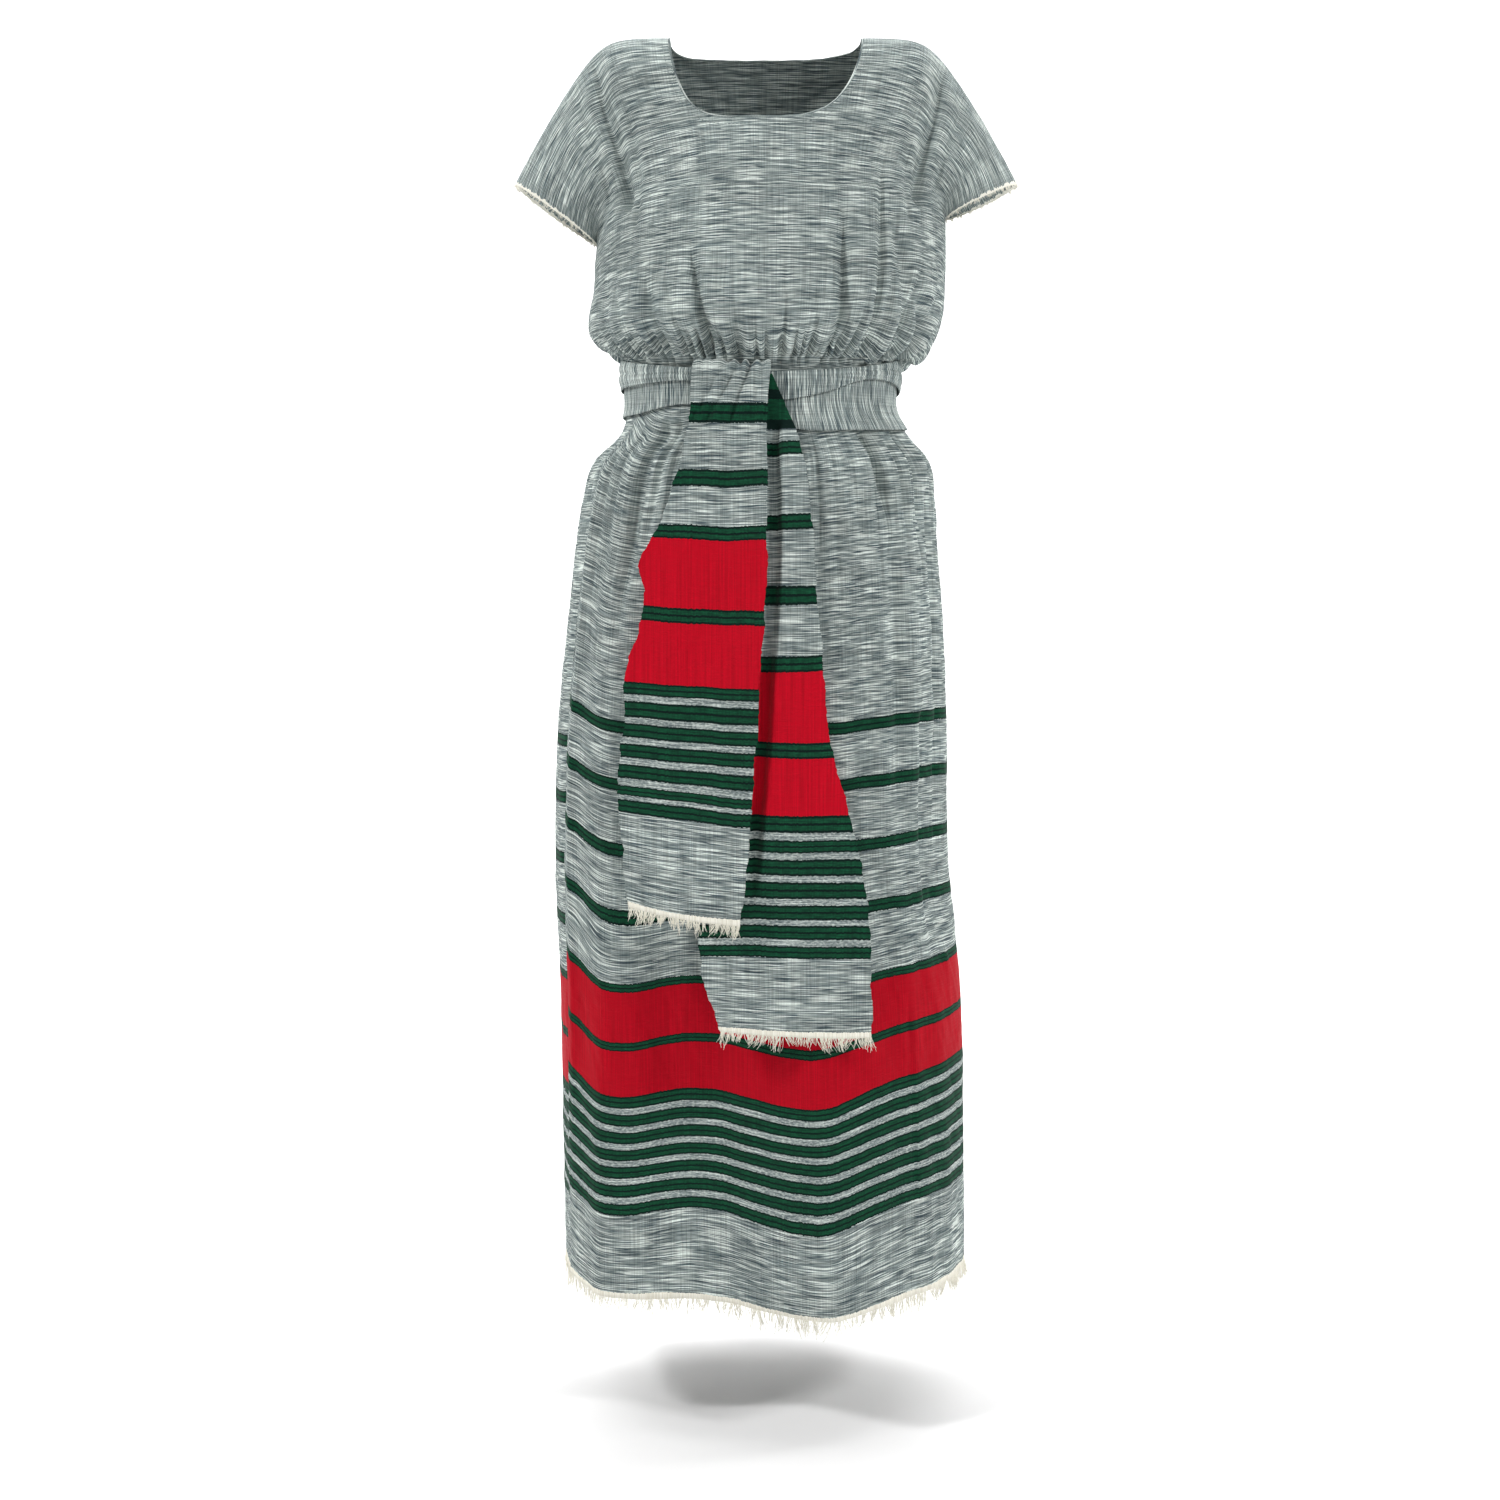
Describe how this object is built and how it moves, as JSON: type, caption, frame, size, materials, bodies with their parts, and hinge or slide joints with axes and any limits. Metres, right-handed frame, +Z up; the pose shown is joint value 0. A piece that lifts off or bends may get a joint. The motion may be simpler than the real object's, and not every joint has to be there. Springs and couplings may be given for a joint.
{
  "type": "habesha kemis dress",
  "caption": "Worn handwoven cotton dress, hollow, with short sleeves cut in one, gathered waist, striped skirt border, fringed hem and a tied sash with two hanging tails.",
  "frame": {"origin": "middle of the shoulder line, where the wearer's shoulders hold the dress", "axes": "+Z up, -Y to the front of the dress, +X to the right of someone who looks at the front"},
  "size_m": [0.4935, 0.3359, 1.2333],
  "materials": {
    "body_cotton": "matte slub weave",
    "skirt_cotton": "matte slub weave with green and red stripes",
    "sash_cotton": "matte slub weave with green and red stripes",
    "cream_fringe": "matte loose threads"
  },
  "bodies": {
    "root": {"bodice_front": "body_cotton", "bodice_back": "body_cotton", "skirt_front": "skirt_cotton", "skirt_back": "skirt_cotton", "sash_inner_turn": "sash_cotton", "sash_outer_turn": "sash_cotton", "sash_tail_short": "sash_cotton", "sash_tail_long": "sash_cotton", "hem_fringe_front": "cream_fringe", "hem_fringe_back": "cream_fringe", "tail_short_fringe": "cream_fringe", "tail_long_fringe": "cream_fringe"}
  },
  "joints": []
}
